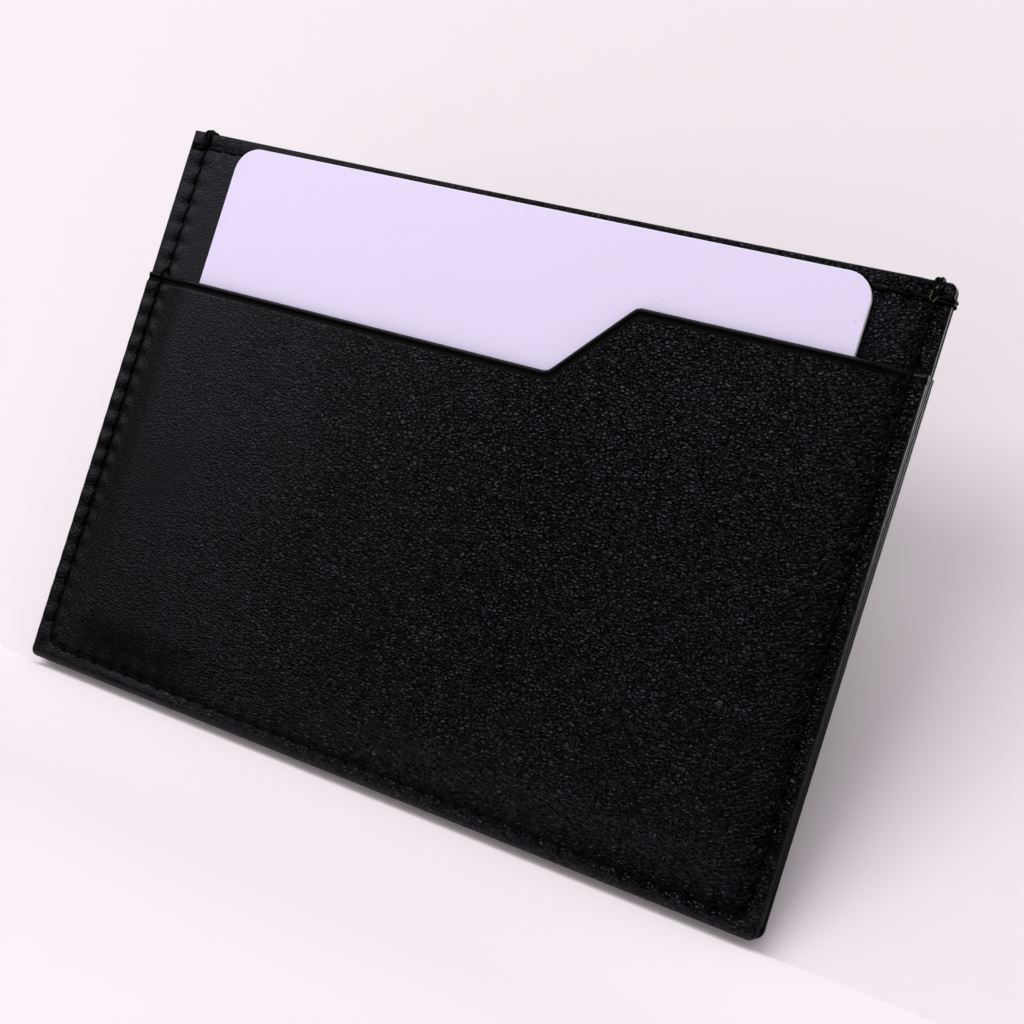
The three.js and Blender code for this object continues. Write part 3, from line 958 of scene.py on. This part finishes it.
def leather_material(name, depth):
    material, nodes, shader = new_material(name)
    if nodes is None:
        return material
    links = material.node_tree.links
    c = colours()
    grain = use_group(nodes, pebble_grain_group(), Pebble_width=sizes().grain, Crease_sharpness=0.22)
    lighter = tuple(v * 1.5 for v in c.leather[:3]) + (1.0,)
    tone = mix_colour(nodes, links, grain.outputs["Pebble shade"], c.leather, lighter)
    # Painted shade: the base colour is darkened in the creases between the pebbles.
    colour_out = mix_colour(nodes, links, grain.outputs["Crease"], c.painted_valley_shade, tone)
    links.new(colour_out, shader.inputs["Base Color"])
    # The hide is finer and flatter to the left, and coarser in patches to the right.
    place = nodes.new("ShaderNodeSeparateXYZ")
    links.new(nodes.new("ShaderNodeTexCoord").outputs["Object"], place.inputs[0])
    across = remap(nodes, links, place.outputs["X"], FINE_GRAIN_END, COARSE_GRAIN_START, 0.0, 0.9)
    patch = remap(nodes, links, grain.outputs["Broad"], 0.35, 0.7, 0.0, 0.22)
    coarse = maths(nodes, links, "MINIMUM", maths(nodes, links, "ADD", across, patch), 1.0)
    rough = remap(nodes, links, grain.outputs["Pebble shade"], 0.0, 1.0, 0.22, 0.30)
    links.new(
        maths(nodes, links, "ADD", rough, remap(nodes, links, coarse, 0.0, 1.0, 0.22, 0.0)),
        shader.inputs["Roughness"],
    )
    height = maths(nodes, links, "MULTIPLY", grain.outputs["Height"],
                   remap(nodes, links, coarse, 0.0, 1.0, 0.05, 1.0))
    bump(nodes, links, height, 1.0, 0.00017 * depth, shader)
    shader.inputs["Specular IOR Level"].default_value = 0.25
    shader.inputs["Specular Tint"].default_value = (0.86, 0.82, 1.0, 1.0)
    return material


def paint_material():
    """Edge paint: a thick soft coat with faint brush ripples."""
    material, nodes, shader = new_material("edge_paint")
    if nodes is None:
        return material
    links = material.node_tree.links
    place = nodes.new("ShaderNodeTexCoord").outputs["Object"]
    ripple = noise(nodes, links, place, 2600.0, 3.0, 0.6)
    slow = noise(nodes, links, place, 420.0, 2.0)
    c = colours().paint
    darker = tuple(v * 0.55 for v in c[:3]) + (1.0,)
    links.new(mix_colour(nodes, links, slow.outputs["Fac"], darker, c), shader.inputs["Base Color"])
    links.new(remap(nodes, links, ripple.outputs["Fac"], 0.3, 0.7, 0.32, 0.44), shader.inputs["Roughness"])
    bump(nodes, links, ripple.outputs["Fac"], 0.5, 0.00004, shader)
    shader.inputs["Specular IOR Level"].default_value = 0.24
    shader.inputs["Specular Tint"].default_value = (0.88, 0.84, 1.0, 1.0)
    return material


def mottled_material(name, colour, dark_share, texture, rough, relief=None, specular=None):
    """An even finish: one noise, given as scale, detail and roughness, mottles its tone and gloss.
    relief is the strength and depth of its bump."""
    material, nodes, shader = new_material(name)
    if nodes is None:
        return material
    links = material.node_tree.links
    place = nodes.new("ShaderNodeTexCoord").outputs["Object"]
    mottle = noise(nodes, links, place, *texture).outputs["Fac"]
    darker = tuple(v * dark_share for v in colour[:3]) + (1.0,)
    links.new(mix_colour(nodes, links, mottle, darker, colour), shader.inputs["Base Color"])
    links.new(remap(nodes, links, mottle, 0.3, 0.7, *rough), shader.inputs["Roughness"])
    if relief is not None:
        bump(nodes, links, mottle, *relief, shader)
    if specular is not None:
        shader.inputs["Specular IOR Level"].default_value = specular
    return material


def groove_material():
    """Leather that a hot iron has pressed smooth: matt, with its colour painted darker than the grain as
    painted shade in the groove.
    """
    return mottled_material("pressed_groove", colours().painted_valley_shade, 0.6, (1800.0, 3.0, 0.6),
                            (0.5, 0.62), (0.5, 0.00004), 0.06)


def lining_material():
    """Smooth lining leather with a fine nap."""
    return mottled_material("lining_leather", colours().lining, 0.6, (5200.0, 4.0, 0.7),
                            (0.62, 0.8), (0.4, 0.00003))


def thread_material():
    material, nodes, shader = new_material("waxed_thread")
    if nodes is None:
        return material
    links = material.node_tree.links
    place = nodes.new("ShaderNodeTexCoord").outputs["Object"]
    fibre = noise(nodes, links, place, 14000.0, 3.0, 0.65)
    slow = noise(nodes, links, place, 700.0, 2.0)
    c = colours().thread
    lighter = tuple(v * 2.2 for v in c[:3]) + (1.0,)
    links.new(mix_colour(nodes, links, fibre.outputs["Fac"], c, lighter), shader.inputs["Base Color"])
    links.new(remap(nodes, links, slow.outputs["Fac"], 0.3, 0.7, 0.42, 0.6), shader.inputs["Roughness"])
    bump(nodes, links, fibre.outputs["Fac"], 0.6, 0.00005, shader)
    shader.inputs["Specular IOR Level"].default_value = 0.07
    return material


def fibre_material():
    """The undyed core of the thread, which shows where it is broken."""
    material, nodes, shader = new_material("broken_fibre")
    if nodes is None:
        return material
    links = material.node_tree.links
    place = nodes.new("ShaderNodeTexCoord").outputs["Object"]
    fuzz = noise(nodes, links, place, 3500.0, 3.0, 0.65)
    c = colours().fibre
    darker = tuple(v * 0.12 for v in c[:3]) + (1.0,)
    patch = remap(nodes, links, fuzz.outputs["Fac"], 0.42, 0.58, 0.0, 1.0)
    links.new(mix_colour(nodes, links, patch, darker, c), shader.inputs["Base Color"])
    links.new(remap(nodes, links, fuzz.outputs["Fac"], 0.3, 0.7, 0.6, 0.8), shader.inputs["Roughness"])
    return material


def card_material():
    """Satin card faces, faintly mottled, with a few specks of dust."""
    material, nodes, shader = new_material("card_face")
    if nodes is None:
        return material
    links = material.node_tree.links
    place = nodes.new("ShaderNodeTexCoord").outputs["Object"]
    cloud = noise(nodes, links, place, 70.0, 4.0, 0.6)
    fine = noise(nodes, links, place, 3000.0, 3.0, 0.6)
    c = colours().card
    paler = tuple(min(v * 1.035 + 0.006, 1.0) for v in c[:3]) + (1.0,)
    tone = mix_colour(nodes, links, cloud.outputs["Fac"], c, paler)
    dust = use_group(nodes, dust_group(), Spacing=0.0075, Speck_size=0.022)
    grey = tuple(v * 0.84 for v in c[:3]) + (1.0,)
    links.new(mix_colour(nodes, links, dust.outputs["Mask"], tone, grey), shader.inputs["Base Color"])
    links.new(remap(nodes, links, cloud.outputs["Fac"], 0.3, 0.7, 0.42, 0.50), shader.inputs["Roughness"])
    bump(nodes, links, fine.outputs["Fac"], 0.10, 0.00002, shader)
    return material


def card_rim_highlight_material():
    """The card's rim, painted near white as a painted highlight, brighter than its faces; without bump."""
    return mottled_material("card_rim_highlight", colours().core, 0.93, (1500.0, 3.0, 0.6), (0.35, 0.5))


# ---- Stage ----

def paper_material(name, tone, one_sided=False):
    material, nodes, shader = new_material(name)
    if nodes is None:
        return material
    links = material.node_tree.links
    place = nodes.new("ShaderNodeTexCoord").outputs["Object"]
    tooth = noise(nodes, links, place, 120.0, 3.0)
    c = tuple(v * tone for v in colours().floor[:3]) + (1.0,)
    darker = tuple(v * 0.992 for v in c[:3]) + (1.0,)
    links.new(mix_colour(nodes, links, tooth.outputs["Fac"], darker, c), shader.inputs["Base Color"])
    shader.inputs["Roughness"].default_value = 0.95
    shader.inputs["Specular IOR Level"].default_value = 0.0
    if one_sided:
        # Painted shade: the rising paper's colour is painted darker towards its top and its left, and lighter
        # towards its bottom right.
        point = nodes.new("ShaderNodeSeparateXYZ")
        links.new(place, point.inputs[0])
        up = remap(nodes, links, point.outputs["Z"], 0.0, 0.16, 1.04, 0.95)
        right = remap(nodes, links, point.outputs["X"], -0.10, 0.14, 0.985, 1.04)
        fall = remap(nodes, links, maths(nodes, links, "MULTIPLY", up, right), 0.92, 1.10, 0.0, 1.0)
        dim, bright = (tuple(v * k for v in c[:3]) + (1.0,) for k in (0.92, 1.10))
        links.new(mix_colour(nodes, links, fall, dim, bright), shader.inputs["Base Color"])
        clear = nodes.new("ShaderNodeBsdfTransparent")
        mix = nodes.new("ShaderNodeMixShader")
        links.new(nodes.new("ShaderNodeNewGeometry").outputs["Backfacing"], mix.inputs[0])
        links.new(shader.outputs[0], mix.inputs[1])
        links.new(clear.outputs[0], mix.inputs[2])
        links.new(mix.outputs[0], nodes["Material Output"].inputs["Surface"])
    return material


def paper_strip(name, profile, material):
    """A wide strip of backdrop paper, run along the holder's width, from its profile in Y and Z."""
    places = []
    for y, z in profile:
        places += [(-PAPER_REACH, y, z), (PAPER_REACH, y, z)]
    faces = [(2 * i, 2 * i + 1, 2 * i + 3, 2 * i + 2) for i in range(len(profile) - 1)]
    mesh = bpy.data.meshes.new(name)
    mesh.from_pydata(places, [], faces)
    mesh.polygons.foreach_set("use_smooth", [True] * len(faces))
    mesh.materials.append(material)
    strip = bpy.data.objects.new(name, mesh)
    bpy.context.scene.collection.objects.link(strip)
    strip.visible_glossy = False
    return strip


def add_paper():
    """The floor, and paper that rises behind the holder. The floor in front is a little lower, because
    the holder stands on the rear of its fold. The rising paper is clear from behind."""
    slope = math.radians(62)
    drop = 0.9 * MM
    rest_y = MID + OUTER_FACE - FOLD + FOLD * math.sin(slope)
    rest_z = FOLD - FOLD * math.cos(slope)

    def on_slope(z):
        return rest_y + (z - rest_z) / math.tan(slope)

    front = [(-3.0, -drop), (-0.5, -drop), (-0.05, -drop), (on_slope(-drop) + 0.4 * MM, -drop)]
    rear = [(on_slope(0) + 0.8 * MM, 0.0), (0.1, 0.0), (3.0, 0.0)]
    floor_paper = paper_material("paper_floor", FLOOR_TONE)
    paper_strip("floor", front + rear, floor_paper)
    # Only the floor close in front shines back from the underside of the fold.
    near = [(-0.0027, -drop + 0.02 * MM), (on_slope(-drop), -drop + 0.02 * MM)]
    apron = paper_strip("floor_apron", near, floor_paper)
    apron.visible_glossy = True
    apron.visible_camera = apron.visible_diffuse = apron.visible_shadow = False
    rise = [(on_slope(z), z) for z in (-drop, 2 * MM, 10 * MM, 0.1, 0.5, 2.5)]
    sweep = paper_strip("sweep", rise, paper_material("paper_sweep", SWEEP_SHADE_TONE, one_sided=True))
    sweep.visible_shadow = False
    sweep.visible_diffuse = False


def add_light(name, place, aim, size, power, tint=(1.0, 1.0, 1.0)):
    data = bpy.data.lights.new(name, "AREA")
    data.shape = "RECTANGLE"
    data.size, data.size_y = size
    data.energy = power
    data.color = tint
    lamp = bpy.data.objects.new(name, data)
    lamp.location = place
    lamp.rotation_euler = (Vector(aim) - Vector(place)).to_track_quat("-Z", "Y").to_euler()
    bpy.context.scene.collection.objects.link(lamp)
    return lamp


def add_world():
    world = bpy.data.worlds.new("studio")
    world.use_nodes = True
    nodes, links = world.node_tree.nodes, world.node_tree.links
    seen = nodes["Background"]
    seen.inputs["Color"].default_value = (0.90, 0.855, 0.885, 1.0)
    seen.inputs["Strength"].default_value = 1.0
    felt = nodes.new("ShaderNodeBackground")
    felt.inputs["Color"].default_value = (0.98, 0.96, 1.0, 1.0)
    felt.inputs["Strength"].default_value = 0.52
    mirrored = nodes.new("ShaderNodeBackground")
    mirrored.inputs["Color"].default_value = (0.95, 0.95, 1.0, 1.0)
    mirrored.inputs["Strength"].default_value = 0.015
    path = nodes.new("ShaderNodeLightPath")
    unseen = nodes.new("ShaderNodeMixShader")
    links.new(path.outputs["Is Glossy Ray"], unseen.inputs[0])
    links.new(felt.outputs[0], unseen.inputs[1])
    links.new(mirrored.outputs[0], unseen.inputs[2])
    mix = nodes.new("ShaderNodeMixShader")
    links.new(path.outputs["Is Camera Ray"], mix.inputs[0])
    links.new(unseen.outputs[0], mix.inputs[1])
    links.new(seen.outputs[0], mix.inputs[2])
    links.new(mix.outputs[0], nodes["World Output"].inputs["Surface"])
    bpy.context.scene.world = world


def add_camera():
    azimuth, elevation, roll = math.radians(25.69), math.radians(-1.09), math.radians(17.18)
    aim = Vector((7.27, 3.78, 35.89)) * MM
    distance = 194.8 * MM
    back = Vector((
        math.sin(azimuth) * math.cos(elevation),
        -math.cos(azimuth) * math.cos(elevation),
        math.sin(elevation),
    ))
    data = bpy.data.cameras.new("camera")
    data.lens = 57.94
    data.sensor_width = 36.0
    data.clip_start, data.clip_end = 0.005, 20.0
    camera = bpy.data.objects.new("camera", data)
    camera.location = aim + back * distance
    turn = (-back).to_track_quat("-Z", "Y") @ Quaternion((0, 0, 1), roll)
    camera.rotation_euler = turn.to_euler()
    bpy.context.scene.collection.objects.link(camera)
    bpy.context.scene.camera = camera


# ---- Operators ----

class CARDHOLDER_OT_stage(bpy.types.Operator):
    """Add the camera, the floor, the paper sweep and the lights"""

    bl_idname = "cardholder.stage"
    bl_label = "Add stage"

    def execute(self, context):
        context.scene.view_settings.view_transform = "Standard"
        add_camera()
        add_world()
        add_paper()
        add_light("key_softbox", (-0.24, -0.65, 0.43), (0, 0, 0.03), (0.40, 0.40), 1.65)
        add_light("top_softbox", (-0.22, -0.25, 0.86), (0, 0, 0.03), (0.45, 0.4), 1.3)
        fill = add_light("fill_softbox", (-0.05, -0.20, 0.92), (0, 0, 0.03), (0.9, 0.7), 2.4)
        fill.visible_glossy = False
        add_light("left_softbox", (-0.60, -0.56, 0.38), (0, 0, 0.036), (0.30, 0.40), 1.8)
        rim = add_light("rim_softbox", (0.70, -0.20, 0.16), (0, 0, 0.036), (0.36, 0.6), 1.3)
        rim.visible_diffuse = False
        add_light("rear_softbox", (0.15, 0.75, 0.75), (0, 0, 0.03), (0.8, 0.6), 0.7)
        sheen = add_light("rear_sheen_softbox", (0.50, 0.66, 0.34), (0, 0, 0.036), (0.5, 0.5), 4.5)
        sheen.visible_diffuse = False
        return {"FINISHED"}


class CARDHOLDER_OT_outer_leather(bpy.types.Operator):
    """Add the outer leather, folded round the bottom edge into two stepped pockets"""

    bl_idname = "cardholder.outer_leather"
    bl_label = "Add outer leather"

    def execute(self, context):
        build_outer_leather()
        return {"FINISHED"}


class CARDHOLDER_OT_dividers(bpy.types.Operator):
    """Add the two dividers with their painted edges"""

    bl_idname = "cardholder.dividers"
    bl_label = "Add dividers"

    def execute(self, context):
        for place, side in (("front", 1), ("rear", -1)):
            mesh = build_divider(f"{place}_divider_skin", side)
            materials = [leather_material("pebbled_divider_leather", 0.9), paint_material()]
            add_piece(mesh, materials, "divider_leather", f"{place}_divider_leather")
        return {"FINISHED"}


class CARDHOLDER_OT_linings(bpy.types.Operator):
    """Add the thin linings of the pockets and the dividers"""

    bl_idname = "cardholder.linings"
    bl_label = "Add linings"

    def execute(self, context):
        slot_out = DIVIDER_BACK - 0.02 * MM
        slot_in = MID - SLOT_FRONT
        for place, side in (("front", 1), ("rear", -1)):
            name = f"{place}_pocket_lining_sheet"
            pocket = build_lining(name, side, LINING_BACK, LINING_FACE, 0.5 * MM, side > 0)
            add_piece(pocket, [lining_material()], "lining", f"{place}_pocket_lining")
            slot = build_lining(f"{place}_slot_lining_sheet", side, slot_in, slot_out)
            add_piece(slot, [lining_material()], "lining", f"{place}_divider_lining")
        return {"FINISHED"}


class CARDHOLDER_OT_stitching(bpy.types.Operator):
    """Add the seams, the topstitch rows and the loops of thread round the edges"""

    bl_idname = "cardholder.stitching"
    bl_label = "Add stitching"

    def execute(self, context):
        for place, side in (("front", 1), ("rear", -1)):
            build_seam(f"{place}_seam_stitches", f"{place}_seam_thread", side)
            build_top_row(f"{place}_top_stitches", f"{place}_top_thread", side)
        for place, sign in (("left", -1), ("right", 1)):
            build_side_loops(f"{place}_edge_loops", f"{place}_side_loop", sign)
        build_frayed_ends()
        return {"FINISHED"}


class CARDHOLDER_OT_card(bpy.types.Operator):
    """Add the blank card, which slides in the front pocket"""

    bl_idname = "cardholder.card"
    bl_label = "Add card"

    def execute(self, context):
        build_card()
        return {"FINISHED"}


class CARDHOLDER_PT_panel(bpy.types.Panel):
    """Lists the card holder's operators, sizes and colours"""

    bl_label = "Card holder"
    bl_idname = "CARDHOLDER_PT_panel"
    bl_space_type = "VIEW_3D"
    bl_region_type = "UI"
    bl_category = "Card holder"

    def draw(self, context):
        layout = self.layout
        for operator in OPERATORS:
            layout.operator(operator.bl_idname)
        for group in (context.scene.card_holder_sizes, context.scene.card_holder_colours):
            box = layout.box()
            for name in group.__annotations__:
                box.prop(group, name)


OPERATORS = (
    CARDHOLDER_OT_stage,
    CARDHOLDER_OT_outer_leather,
    CARDHOLDER_OT_dividers,
    CARDHOLDER_OT_linings,
    CARDHOLDER_OT_stitching,
    CARDHOLDER_OT_card,
)
CLASSES = (HolderSizes, HolderColours, *OPERATORS, CARDHOLDER_PT_panel)


def register():
    for cls in CLASSES:
        bpy.utils.register_class(cls)
    bpy.types.Scene.card_holder_sizes = PointerProperty(type=HolderSizes)
    bpy.types.Scene.card_holder_colours = PointerProperty(type=HolderColours)


def unregister():
    del bpy.types.Scene.card_holder_colours
    del bpy.types.Scene.card_holder_sizes
    for cls in reversed(CLASSES):
        bpy.utils.unregister_class(cls)


def main():
    register()
    bpy.ops.cardholder.stage()
    bpy.ops.cardholder.outer_leather()
    bpy.ops.cardholder.dividers()
    bpy.ops.cardholder.linings()
    bpy.ops.cardholder.stitching()
    bpy.ops.cardholder.card()
    bpy.context.view_layer.update()


if __name__ == "__main__":
    main()
